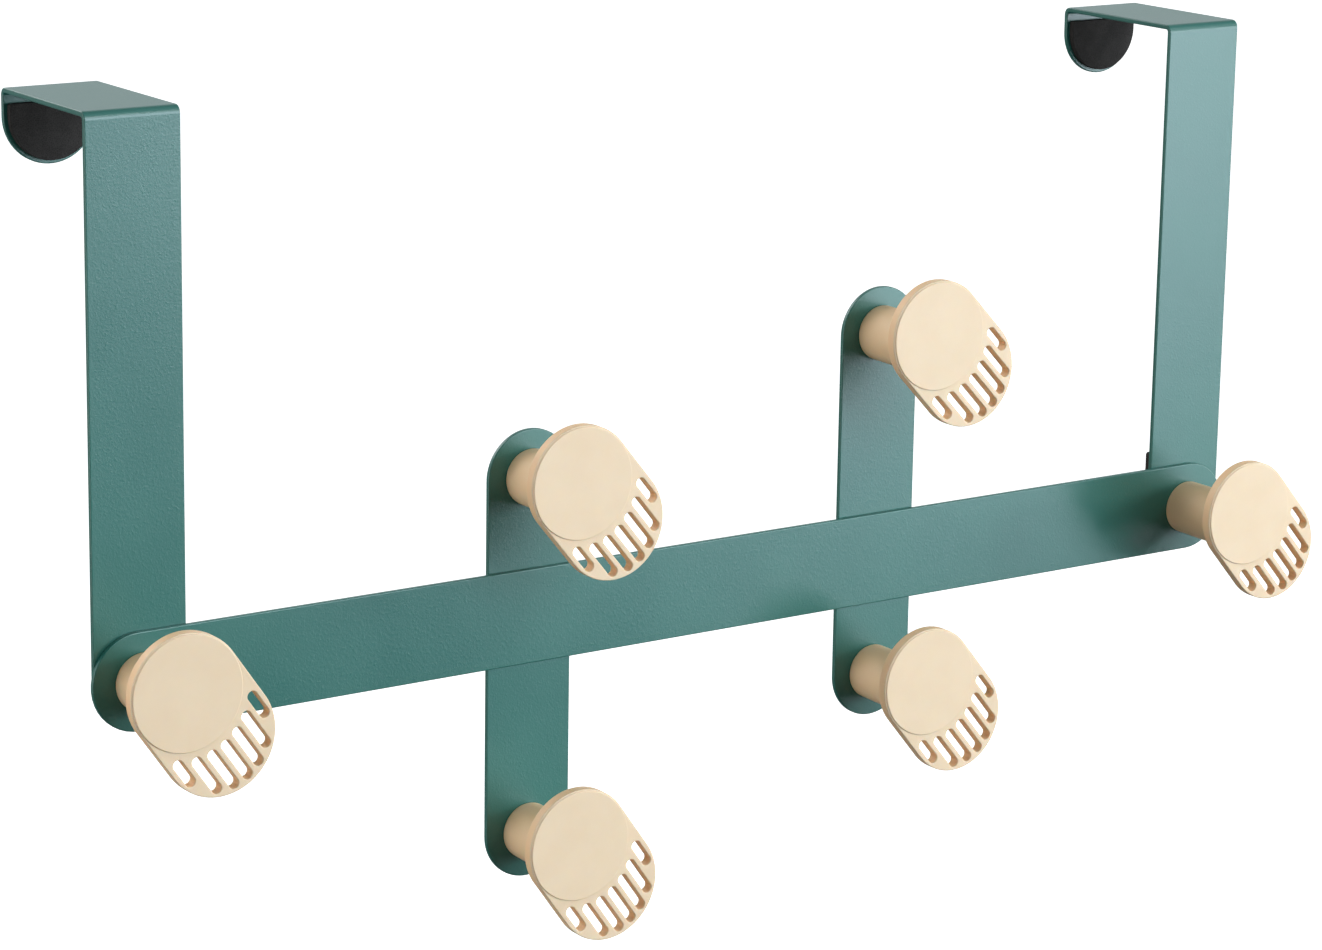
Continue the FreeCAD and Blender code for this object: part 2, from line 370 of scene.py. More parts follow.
@dataclass(frozen=True)
class FoamRubber(Finish):
    """Black closed-cell foam with an open cut face."""

    name: str = "black_foam_rubber"
    colour: Colour = (0.012, 0.0105, 0.0098)
    dusty: Colour = (0.043, 0.039, 0.036)
    cell_size: float = 0.55
    fuzz_size: float = 0.25
    patch_size: float = 5.0
    depth: float = 0.12

    def build(self, work: NodeWork, place: Socket) -> dict[str, Any]:
        """Builds packed cells with pale rims."""
        cells = work.term("ShaderNodeTexVoronoi", {"feature": "DISTANCE_TO_EDGE"},
                          {"Vector": place, "Scale": 1.0 / mm(self.cell_size), "Randomness": 1.0})
        rim = 1.0 - cells.ramp(0.02, 0.22)
        fuzz = grain(work, place, self.fuzz_size)
        patch = grain(work, place, self.patch_size)
        tone = rim * 0.35 + fuzz.ramp(0.4, 0.8) * 0.35 + patch.ramp(0.35, 0.75) * 0.2
        return {
            "Base Color": blend(work, tone, self.colour, self.dusty),
            "Roughness": 0.9 + (fuzz - 0.5) * 0.12,
            "Specular IOR Level": 0.3,
            "Normal": relief(work, cells.ramp(0.0, 0.3) * 0.5 + fuzz * 0.5, self.depth),
        }


@dataclass(frozen=True)
class ZincPlate(Finish):
    """Bright zinc plate on pressed steel."""

    name: str = "zinc_plated_steel"
    colour: Colour = (0.62, 0.63, 0.62)
    dull: Colour = (0.46, 0.47, 0.47)
    cloud_size: float = 1.6
    mark_size: float = 0.12
    depth: float = 0.006

    def build(self, work: NodeWork, place: Socket) -> dict[str, Any]:
        """Builds cloudy plate with fine press marks."""
        cloud = grain(work, place, self.cloud_size, detail=3.0)
        marks = grain(work, place, self.mark_size)
        return {
            "Base Color": blend(work, cloud.ramp(0.35, 0.7), self.colour, self.dull),
            "Metallic": 1.0,
            "Roughness": 0.3 + (cloud - 0.5) * 0.2 + (marks - 0.5) * 0.1,
            "Normal": relief(work, marks, self.depth),
        }


@dataclass(frozen=True)
class TurnedBrass(Finish):
    """Turned brass with the fine rings of the tool."""

    name: str = "turned_brass"
    colour: Colour = (0.68, 0.50, 0.22)
    brown: Colour = (0.46, 0.32, 0.13)
    ring_pitch: float = 0.25
    stain_size: float = 1.2
    depth: float = 0.01

    def build(self, work: NodeWork, place: Socket) -> dict[str, Any]:
        """Builds turning rings along the screw's axis."""
        along = work.term("ShaderNodeSeparateXYZ", None, {0: place}, "Y")
        rings = (along * (2.0 * math.pi / mm(self.ring_pitch))).sine() * 0.5 + 0.5
        stain = grain(work, place, self.stain_size, detail=3.0)
        return {
            "Base Color": blend(work, stain.ramp(0.35, 0.75), self.colour, self.brown),
            "Metallic": 1.0,
            "Roughness": 0.28 + (stain - 0.5) * 0.16,
            "Normal": relief(work, rings * 0.7 + stain * 0.3, self.depth),
        }


class Rule:
    """A Geometry Nodes tree with named inputs that is run once and left as a plain mesh."""

    def __init__(self, name: str, sizes: dict[str, float]) -> None:
        """Makes the tree and its inputs.

        Args:
            name: the tree's name.
            sizes: the inputs' names and values, in metres.
        """
        self.tree = bpy.data.node_groups.new(name, "GeometryNodeTree")
        self.sizes = sizes
        for label in sizes:
            self.tree.interface.new_socket(label, in_out="INPUT", socket_type="NodeSocketFloat")
        self.tree.interface.new_socket("Finish", in_out="INPUT", socket_type="NodeSocketMaterial")
        self.tree.interface.new_socket("Geometry", in_out="OUTPUT", socket_type="NodeSocketGeometry")
        self.work = NodeWork(self.tree)
        self.entry = self.work.node("NodeGroupInput")

    def size(self, label: str) -> Term:
        """The named input as a term."""
        return Term(self.work, self.entry.outputs[label])

    def close(self, geometry: Socket) -> None:
        """Ends the tree with realized instances, smooth faces and the finish.

        Args:
            geometry: what the tree has made.
        """
        real = self.work.node("GeometryNodeRealizeInstances", None, {0: geometry})
        smooth = self.work.node("GeometryNodeSetShadeSmooth", None, {0: real})
        dressed = self.work.node("GeometryNodeSetMaterial", None,
                                 {"Geometry": smooth, "Material": self.entry.outputs["Finish"]})
        self.work.node("NodeGroupOutput", None, {0: dressed})

    def run(self, name: str, finish: bpy.types.Material, changed: dict[str, float]) -> bpy.types.Object:
        """Runs the tree on a new object and keeps the result as a plain mesh.

        Args:
            name: the piece's name.
            finish: the material to set.
            changed: inputs that differ from the tree's own sizes.

        Returns:
            The piece, with no modifier left.
        """
        piece = bpy.data.objects.new(name, bpy.data.meshes.new(name + "_start"))
        bpy.context.collection.objects.link(piece)
        modifier = piece.modifiers.new("Rule", "NODES")
        modifier.node_group = self.tree
        values = {**self.sizes, **changed, "Finish": finish}
        for item in self.tree.interface.items_tree:
            if item.in_out == "INPUT":
                modifier[item.identifier] = values[item.name]
        bpy.context.view_layer.update()
        graph = bpy.context.evaluated_depsgraph_get()
        mesh = bpy.data.meshes.new_from_object(piece.evaluated_get(graph), preserve_all_data_layers=True,
                                               depsgraph=graph)
        piece.modifiers.clear()
        piece.data = mesh
        mesh.name = name
        return piece


def turn_outwards(piece: bpy.types.Object) -> int:
    """Merges doubles, points every face outwards and counts the open edges.

    Args:
        piece: the mesh piece.

    Returns:
        The number of edges that don't have exactly two faces.
    """
    shape = bmesh.new()
    shape.from_mesh(piece.data)
    bmesh.ops.remove_doubles(shape, verts=shape.verts, dist=mm(MERGE_DISTANCE))
    bmesh.ops.recalc_face_normals(shape, faces=shape.faces)
    loose = sum(1 for edge in shape.edges if len(edge.link_faces) != 2)
    shape.to_mesh(piece.data)
    shape.free()
    return loose


def even_normals(piece: bpy.types.Object) -> None:
    """Lets the large flat faces set the shading where small rounds meet them."""
    modifier = piece.modifiers.new("Flat faces", "WEIGHTED_NORMAL")
    modifier.mode = "FACE_AREA"
    modifier.keep_sharp = True


@dataclass
class SteelWork:
    """Straps, cross bar and uprights: the frame's own solids under powder coat."""

    nodes: tuple[str, ...] = ("left_strap", "right_strap", "cross_bar", "left_upright", "right_upright")
    finish: PowderCoat = PowderCoat()

    def dress(self) -> list[str]:
        """Puts the powder coat on each steel node.

        Returns:
            The names of the nodes.
        """
        for node in self.nodes:
            paint(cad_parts[node], self.finish.material())
        return list(self.nodes)


def paint(piece: bpy.types.Object, material: bpy.types.Material) -> None:
    """Makes a material the only one on a piece."""
    piece.data.materials.clear()
    piece.data.materials.append(material)


@dataclass(frozen=True)
class KnobPlace:
    """Where one knob stands and how far it is turned."""

    node: str
    x: float
    z: float
    steel_y: float
    turn: float


@dataclass
class KnobMoulding:
    """The slotted knob: a round stem, a long plate with slots and a raised disc."""

    projection: float = 36.0
    stem_radius: float = 8.3
    stem_draft: float = 0.4
    stem_flare: float = 1.0
    head_radius: float = 16.5
    head_centres: float = 16.5
    plate_thickness: float = 3.4
    front_round: float = 0.3
    back_round: float = 0.5
    disc_rise: float = 0.4
    disc_margin: float = 0.35
    disc_round: float = 0.3
    slot_width: float = 3.0
    slot_pitch: float = 4.5
    slot_rim: float = 1.0
    slot_land: float = 1.85
    slot_round: float = 0.28
    slot_burr: float = 0.02
    slots: int = 7
    base_edge: tuple[Ring, ...] = ((0.012, 0.4), (-0.1, 0.1), (-0.4, 0.0))
    insert_radius: float = 3.25
    insert_length: float = 10.0
    pilot_radius: float = 2.25
    pilot_depth: float = 15.0
    rim_points: int = 120
    stem_points: int = 72
    slot_points: int = 28
    edge_steps: int = 4
    flare_steps: int = 3
    finish: MouldedPlastic = MouldedPlastic()
    places: tuple[KnobPlace, ...] = (
        KnobPlace("knob_1", -186.0, -154.5, -3.0, 35.0),
        KnobPlace("knob_2", -62.0, -113.5, -1.5, 39.5),
        KnobPlace("knob_3", -62.0, -219.5, -1.5, 35.5),
        KnobPlace("knob_4", 62.0, -84.5, -1.5, 43.5),
        KnobPlace("knob_5", 62.0, -190.5, -1.5, 39.5),
        KnobPlace("knob_6", 186.0, -154.5, -3.0, 41.0),
    )

    def sizes(self) -> dict[str, float]:
        """The tree's inputs, in metres, with the place and turn of one knob left at nought."""
        return {
            "Head Radius": mm(self.head_radius),
            "Upper Centre": mm(self.head_centres / 2.0),
            "Slot Radius": mm(self.slot_width / 2.0),
            "Slot Pitch": mm(self.slot_pitch),
            "Upper Reach": mm(self.head_radius - self.disc_margin + self.slot_land + self.slot_width / 2.0),
            "Lower Reach": mm(self.head_radius - self.slot_rim - self.slot_width / 2.0),
            "Disc Radius": mm(self.head_radius - self.disc_margin),
            "Plate Front": mm(self.projection - self.disc_rise),
            "Plate Back": mm(self.projection - self.disc_rise - self.plate_thickness),
            "Place X": 0.0,
            "Place Y": 0.0,
            "Place Z": 0.0,
            "Turn": 0.0,
        }

    def circle(self, rule: Rule, points: int) -> Socket:
        """A unit circle that keeps its own directions, with no point on the X axis.

        Args:
            rule: the tree.
            points: the number of points.

        Returns:
            The curve's socket.
        """
        curve = rule.work.node("GeometryNodeCurvePrimitiveCircle", {"mode": "RADIUS"},
                               {"Resolution": points, "Radius": 1.0})
        offset = rule.work.node("GeometryNodeTransform", None, {"Geometry": curve.outputs["Curve"],
                                                                "Rotation": (0.0, 0.0, math.pi / points)})
        position = rule.work.node("GeometryNodeInputPosition")
        return self.keep(rule, offset, "away", position)

    def keep(self, rule: Rule, geometry: Any, name: str, value: Any, kind: str = "FLOAT_VECTOR") -> Socket:
        """Stores a value on the points under a name."""
        node = rule.work.node("GeometryNodeStoreNamedAttribute", {"data_type": kind, "domain": "POINT"},
                              {"Geometry": geometry, "Name": name, "Value": value})
        return node.outputs[0]

    def parts(self, rule: Rule, name: str) -> tuple[Term, Term, Term]:
        """A stored vector as three terms."""
        vector = rule.work.node("GeometryNodeInputNamedAttribute", {"data_type": "FLOAT_VECTOR"},
                                {"Name": name})
        split = rule.work.node("ShaderNodeSeparateXYZ", None, {0: vector})
        return tuple(Term(rule.work, split.outputs[axis]) for axis in range(3))

    def centred(self, rule: Rule, curve: Socket, x: Any, y: Any, reach: Any) -> Socket:
        """Stores each point's centre and radius, as a vector of X, Y and radius."""
        centre = rule.work.node("ShaderNodeCombineXYZ", None, {0: x, 1: y, 2: reach})
        return self.keep(rule, curve, "centre", centre)

    def ring(self, rule: Rule, geometry: Socket, grow: Any, height: Any, selection: Any = True) -> Socket:
        """Moves the chosen points to their circle, grown by a length, at a height.

        Args:
            rule: the tree.
            geometry: the curve or mesh to move.
            grow: how much larger than the stored radius the ring is.
            height: the ring's height above the steel.
            selection: the points to move.

        Returns:
            The moved geometry.
        """
        away_x, away_y, _ = self.parts(rule, "away")
        x, y, reach = self.parts(rule, "centre")
        size = reach + grow
        place = rule.work.node("ShaderNodeCombineXYZ", None,
                               {0: x + away_x * size, 1: y + away_y * size, 2: height})
        moved = rule.work.node("GeometryNodeSetPosition", None,
                               {"Geometry": geometry, "Selection": selection, "Position": place})
        return moved.outputs[0]

    def wall(self, rule: Rule, curve: Socket, rings: Sequence[AnyRing]) -> Socket:
        """Runs a wall through rings of the same outline.

        Args:
            rule: the tree.
            curve: the outline, with its directions and centres.
            rings: each ring's growth and height, from the first edge to the last.

        Returns:
            The wall's mesh.
        """
        edges = rule.work.node("GeometryNodeCurveToMesh", None, {"Curve": curve}).outputs[0]
        mesh = self.ring(rule, edges, *rings[0])
        top: Any = True
        for grow, height in rings[1:]:
            step = rule.work.node("GeometryNodeExtrudeMesh", {"mode": "EDGES"},
                                  {"Mesh": mesh, "Selection": top, "Offset Scale": 0.0})
            top = step.outputs["Top"]
            mesh = self.ring(rule, step.outputs["Mesh"], grow, height, top)
        return mesh

    def filled(self, rule: Rule, curves: list[tuple[Socket, Any]], height: Any) -> Socket:
        """Fills the flat region between outlines, each grown by a length, at a height."""
        rings = [self.ring(rule, curve, grow, 0.0) for curve, grow in curves]
        joined = rule.work.node("GeometryNodeJoinGeometry", None, {0: rings})
        face = rule.work.node("GeometryNodeFillCurve", {"mode": "TRIANGLES"}, {"Curve": joined})
        lift = rule.work.node("ShaderNodeCombineXYZ", None, {2: height})
        lifted = rule.work.node("GeometryNodeTransform", None, {"Geometry": face, "Translation": lift})
        return lifted.outputs[0]

    def slot_outlines(self, rule: Rule) -> Socket:
        """Outlines of the row of slots, whose ends follow the disc above and the rim below."""
        work = rule.work
        index = work.term("GeometryNodeInputIndex")
        along = (index - (self.slots - 1) / 2.0) * rule.size("Slot Pitch")
        row = work.node("GeometryNodePoints", None, {
            "Count": self.slots, "Position": work.node("ShaderNodeCombineXYZ", None, {0: along})})
        copies = work.node("GeometryNodeInstanceOnPoints", None,
                           {"Points": row, "Instance": self.circle(rule, self.slot_points)})
        real = work.node("GeometryNodeRealizeInstances", None, {0: copies}).outputs[0]
        place = work.node("GeometryNodeInputPosition")
        away_x, away_y, _ = self.parts(rule, "away")
        x = work.term("ShaderNodeSeparateXYZ", None, {0: place}) - away_x
        centre, high, low = (rule.size(label) for label in ("Upper Centre", "Upper Reach", "Lower Reach"))
        upper = centre - (high * high - x * x).root()
        lower = 0.0 - centre - (low * low - x * x).root()
        above = away_y > 0.0
        y = above * upper + (1.0 - above) * lower
        return self.centred(rule, real, x, y, rule.size("Slot Radius"))

    def rule(self) -> Rule:
        """Builds the whole moulding's tree.

        Returns:
            The tree, ready to run for each knob.
        """
        rule = Rule("slotted_knob", self.sizes())
        front, back = rule.size("Plate Front"), rule.size("Plate Back")
        centre = rule.size("Upper Centre")
        above = self.parts(rule, "away")[1] > 0.0
        rim = self.centred(rule, self.circle(rule, self.rim_points), 0.0, (above * 2.0 - 1.0) * centre,
                           rule.size("Head Radius"))
        disc = self.centred(rule, self.circle(rule, self.rim_points), 0.0, centre, rule.size("Disc Radius"))
        stem = self.centred(rule, self.circle(rule, self.stem_points), 0.0, 0.0, 0.0)
        slots = self.slot_outlines(rule)
        fore, aft = mm(self.front_round), mm(self.back_round)
        mouth, burr, lip = mm(self.slot_round), mm(self.slot_burr), mm(self.disc_round)
        root = mm(self.stem_radius + self.stem_draft + self.stem_flare)
        pieces = [
            self.wall(rule, rim, self.plate_rings(front, back, fore, aft, -1.0)),
            self.wall(rule, slots, self.plate_rings(front, back, mouth, burr, 1.0)),
            self.wall(rule, disc, self.disc_rings(front, lip)),
            self.wall(rule, stem, self.stem_rings(back)),
            self.filled(rule, [(rim, -fore), (slots, mouth), (disc, 0.0)], front),
            self.filled(rule, [(rim, -aft), (slots, burr), (stem, root)], back),
            self.filled(rule, [(disc, -lip)], front + mm(self.disc_rise)),
            self.filled(rule, [(stem, mm(self.pilot_radius))], mm(self.pilot_depth)),
        ]
        joined = rule.work.node("GeometryNodeJoinGeometry", None, {0: pieces})
        merged = rule.work.node("GeometryNodeMergeByDistance", None,
                                {"Geometry": joined, "Distance": mm(MERGE_DISTANCE)})
        place = rule.work.node("GeometryNodeInputPosition")
        height = rule.work.term("ShaderNodeSeparateXYZ", None, {0: place}, "Z")
        # Depth behind the plate's face, which the plastic reads to paint shade in the slots and on the
        # stem.
        rule.close(self.placed(rule, self.keep(rule, merged, "depth", front - height, "FLOAT")))
        return rule

    def placed(self, rule: Rule, geometry: Socket) -> Socket:
        """Stands the moulding upright, turns it and moves it to its place.

        Args:
            rule: the tree.
            geometry: the moulding, with its axis along Z.

        Returns:
            The moulding where its knob stands.
        """
        upright = rule.work.node("GeometryNodeTransform", None,
                                 {"Geometry": geometry, "Rotation": (math.pi / 2.0, 0.0, 0.0)})
        turn = rule.work.node("ShaderNodeCombineXYZ", None, {1: 0.0 - rule.size("Turn")})
        place = rule.work.node("ShaderNodeCombineXYZ", None,
                               {0: rule.size("Place X"), 1: rule.size("Place Y"), 2: rule.size("Place Z")})
        put = rule.work.node("GeometryNodeTransform", None,
                             {"Geometry": upright, "Rotation": turn, "Translation": place})
        return put.outputs[0]

    def plate_rings(self, front: Term, back: Term, fore: float, aft: float, side: float) -> list[AnyRing]:
        """Rings of a wall through the plate with both edges rounded.

        Args:
            front: the front face's height.
            back: the back face's height.
            fore: the front edge's radius.
            aft: the back edge's radius.
            side: one for a slot, whose mouth opens, and minus one for the rim.

        Returns:
            Growth and height of each ring.
        """
        angles = quarter(self.edge_steps)
        upper = [(side * fore * (1.0 - math.sin(a)), front - fore * (1.0 - math.cos(a))) for a in angles]
        angles.reverse()
        lower = [(side * aft * (1.0 - math.sin(a)), back + aft * (1.0 - math.cos(a))) for a in angles]
        return upper + lower

    def disc_rings(self, front: Term, radius: float) -> list[AnyRing]:
        """Rings of the raised disc, from the plate's face to its own."""
        top = front + mm(self.disc_rise)
        edge = [(radius * (math.cos(a) - 1.0), top - radius * (1.0 - math.sin(a)))
                for a in quarter(self.edge_steps)]
        return [(0.0, front), *edge]

    def stem_rings(self, back: Term) -> list[AnyRing]:
        """Rings of the stem, from its flared root to its base, and on into the bore."""
        neck = self.stem_radius + self.stem_draft
        flare = [(mm(neck + self.stem_flare * (1.0 - math.sin(a))),
                  back - mm(self.stem_flare * (1.0 - math.cos(a)))) for a in quarter(self.flare_steps)]
        base = [(mm(self.stem_radius + grow), mm(height)) for grow, height in self.base_edge]
        bore = [(mm(radius), mm(height)) for radius, height in (
            (self.insert_radius, 0.0), (self.insert_radius, self.insert_length),
            (self.pilot_radius, self.insert_length), (self.pilot_radius, self.pilot_depth))]
        return flare + base + bore

    def build(self) -> list[bpy.types.Object]:
        """Makes one moulding for each place, in the stead of the frame's plain one.

        Returns:
            The knobs.
        """
        rule = self.rule()
        made = []
        for place in self.places:
            where = {"Place X": mm(place.x), "Place Y": mm(place.steel_y), "Place Z": mm(place.z),
                     "Turn": math.radians(place.turn)}
            knob = rule.run(place.node + "_moulding", self.finish.material(), where)
            loose = turn_outwards(knob)
            LOG.info("%s has %d faces and %d open edges", knob.name, len(knob.data.polygons), loose)
            even_normals(knob)
            settle(knob, place.node)
            made.append(knob)
        return made


def settle(piece: bpy.types.Object, node: str) -> None:
    """Hangs a piece on the rack in the stead of its frame node.

    Args:
        piece: the finished piece.
        node: the frame node that it stands for.
    """
    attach(piece, "root")
    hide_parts(node)


class PadSide(Enum):
    """The way a pad's free face looks along Y."""

    ROOM = -1.0
    DOOR = 1.0


@dataclass
class FoamPad:
    """One foam pad cut from sheet, glued to the steel on its flat side."""

    node: str
    x: float
    top_z: float
    round_z: float
    radius: float
    glue_y: float
    thickness: float
    side: PadSide
    hole: tuple[float, float, float] | None = None
    corner: float = 0.6
    edge: float = 0.45
    crown: float = 0.22
    crown_span: float = 0.5
    core_share: float = 0.02
    crease: float = 50.0
    points: int = 160
    rings: int = 22
    edge_steps: int = 5
    corner_steps: int = 8
    round_steps: int = 72
    finish: FoamRubber = FoamRubber()

    def outline(self) -> list[Vector]:
        """Points of the pad's edge in the XZ plane, clockwise from its top left corner.

        Returns:
            The points, evenly spaced along the edge, with its two corners slightly rounded.
        """
        r, c = self.radius, self.corner
        arcs = (
            (self.x - r + c, self.top_z - c, c, 180.0, 90.0, self.corner_steps),
            (self.x + r - c, self.top_z - c, c, 90.0, 0.0, self.corner_steps),
            (self.x, self.round_z, r, 0.0, -180.0, self.round_steps),
        )
        runs = []
        for x, z, radius, start, end, steps in arcs:
            for step in range(steps + 1):
                a = math.radians(start + (end - start) * step / steps)
                runs.append(Vector((x + radius * math.cos(a), z + radius * math.sin(a))))
        return resampled(runs, self.points)

    def inner(self, outer: list[Vector]) -> list[Vector]:
        """The inner loop that the rings run to: the hole's edge, or a short line in the middle."""
        if self.hole:
            x, z, radius = self.hole
            centre = Vector((x, z))
            return [centre + (point - centre).normalized() * radius for point in outer]
        centre = Vector((self.x, (self.top_z + self.round_z - self.radius) / 2.0))
        return [centre + (point - centre) * self.core_share for point in outer]

    def height(self, inset: float, span: float) -> float:
        """How far the face stands from the glue, at an inset from the nearest edge.

        Args:
            inset: the distance from the edge.
            span: the distance at which the face is at its full height.

        Returns:
            The height.
        """
        shoulder = min(inset / self.edge, 1.0)
        fall = self.edge * (1.0 - math.sqrt(1.0 - (1.0 - shoulder) ** 2))
        rise = min(inset / span, 1.0)
        return self.thickness - fall - self.crown * (1.0 - rise) ** 2 * shoulder

    def build(self) -> bpy.types.Object:
        """Makes the pad and puts it in the stead of its frame node.

        Returns:
            The pad.
        """
        outer = self.outline()
        inner = self.inner(outer)
        shape = bmesh.new()
        loops = [self.loop(shape, outer, 0.0)]
        for share, height in self.steps(outer, inner):
            points = [a.lerp(b, share) for a, b in zip(outer, inner)]
            loops.append(self.loop(shape, points, height))
        if self.hole:
            loops += [self.loop(shape, inner, 0.0), loops[0]]
        for first, second in zip(loops, loops[1:]):
            self.band(shape, first, second)
        if not self.hole:
            shape.faces.new(loops[-1])
            shape.faces.new(list(reversed(loops[0])))
        bmesh.ops.recalc_face_normals(shape, faces=shape.faces)
        mesh = bpy.data.meshes.new(self.node + "_foam")
        shape.to_mesh(mesh)
        shape.free()
        mesh.shade_smooth()
        mesh.set_sharp_from_angle(angle=math.radians(self.crease))
        pad = bpy.data.objects.new(self.node + "_foam", mesh)
        bpy.context.collection.objects.link(pad)
        paint(pad, self.finish.material())
        settle(pad, self.node)
        return pad

    def band(self, shape: bmesh.types.BMesh, first: Corners, second: Corners) -> None:
        """Joins two loops of the same number of corners with a band of faces."""
        for index in range(self.points):
            after = (index + 1) % self.points
            shape.faces.new((first[index], first[after], second[after], second[index]))

    def steps(self, outer: list[Vector], inner: list[Vector]) -> list[Ring]:
        """Shares of the way from the outer loop to the inner one, with the face's height at each."""
        width = sum((a - b).length for a, b in zip(outer, inner)) / len(outer)
        round_insets = [self.edge * (1.0 - math.cos(a)) for a in quarter(self.edge_steps)]
        far = width - (self.edge if self.hole else 0.0)
        between = [self.edge + (far - self.edge) * i / self.rings for i in range(1, self.rings)]
        insets = round_insets + between
        if self.hole:
            insets += [width - inset for inset in reversed(round_insets)]
        else:
            insets.append(width)
        span = width * self.crown_span
        result = []
        for inset in insets:
            nearest = min(inset, width - inset) if self.hole else inset
            result.append((min(inset / width, 1.0), self.height(nearest, span)))
        return result

    def loop(self, shape: bmesh.types.BMesh, points: Iterable[Vector], height: float) -> Corners:
        """Adds one ring of corners at a height over the glued side."""
        y = self.glue_y + self.side.value * height
        return [shape.verts.new((mm(point[0]), mm(y), mm(point[1]))) for point in points]


def resampled(points: list[Vector], count: int) -> list[Vector]:
    """Spaces points evenly along a closed outline.

    Args:
        points: the outline's corners in order.
        count: how many points to give.

    Returns:
        The new points, the first of which is the outline's first corner.
    """
    closed = points + [points[0]]
    lengths = [(b - a).length for a, b in zip(closed, closed[1:])]
    total = sum(lengths)
    result = []
    segment, passed = 0, 0.0
    for index in range(count):
        goal = total * index / count
        while passed + lengths[segment] < goal:
            passed += lengths[segment]
            segment += 1
        share = (goal - passed) / lengths[segment] if lengths[segment] else 0.0
        result.append(closed[segment].lerp(closed[segment + 1], share))
    return result


@dataclass
class Pads:
    """The four foam pads: two inside the rear legs and two behind the straps' lower ends."""

    strap_x: tuple[float, float] = (-186.0, 186.0)
    door_gap: float = 48.5
    rear_radius: float = 12.8
    rear_top: float = -3.0
    rear_round: float = -6.5
    rear_thickness: float = 2.0
    back_radius: float = 13.2
    back_top: float = -136.0
    axis_z: float = -154.5
    back_thickness: float = 2.5
    back_offsets: tuple[float, float] = (0.6, 0.0)
    hole_radius: float = 5.2

    def build(self) -> list[bpy.types.Object]:
        """Makes all four.

        Returns:
            The pads.
        """
        made = []
        for side, x, offset in zip(("left", "right"), self.strap_x, self.back_offsets):
            rear = FoamPad(side + "_rear_pad", x=x, top_z=self.rear_top, round_z=self.rear_round,
                           radius=self.rear_radius, glue_y=self.door_gap, thickness=self.rear_thickness,
                           side=PadSide.ROOM)
            back = FoamPad(side + "_back_pad", x=x + offset, top_z=self.back_top, round_z=self.axis_z,
                           radius=self.back_radius, glue_y=0.0, thickness=self.back_thickness,
                           side=PadSide.DOOR, hole=(x, self.axis_z, self.hole_radius))
            made += [rear.build(), back.build()]
        return made


@dataclass
class Hardware:
    """Screws and thread inserts."""

    screws: str = "knob_screws"
    inserts: str = "thread_inserts"
    plate: ZincPlate = ZincPlate()
    brass: TurnedBrass = TurnedBrass()

    def dress(self) -> list[str]:
        """Puts zinc on the screws and brass on the inserts.

        Returns:
            The names of the nodes.
        """
        paint(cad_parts[self.screws], self.plate.material())
        paint(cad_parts[self.inserts], self.brass.material())
        return [self.screws, self.inserts]


def heading(azimuth: float, elevation: float) -> Vector:
    """The direction at an azimuth from the rack's front towards +X and an elevation."""
    a, e = math.radians(azimuth), math.radians(elevation)
    return Vector((math.sin(a) * math.cos(e), -math.cos(a) * math.cos(e), math.sin(e)))


@dataclass(frozen=True)
class Panel:
    """One soft light panel that faces the rack: lengths in metres, radiance as a share of white."""

    name: str
    azimuth: float
    elevation: float
    distance: float
    width: float
    height: float
    radiance: float
    roll: float = 0.0
    colour: Colour = WHITE

    @property
    def watts(self) -> float:
        """The power that gives the panel its radiance."""
        return self.radiance * math.pi * self.width * self.height


@dataclass(frozen=True)
class Glow:
    """A soft patch of sky: where it is, how strong, and how far from its middle it is full and gone."""

    azimuth: float
    elevation: float
    strength: float
    full: float
    gone: float


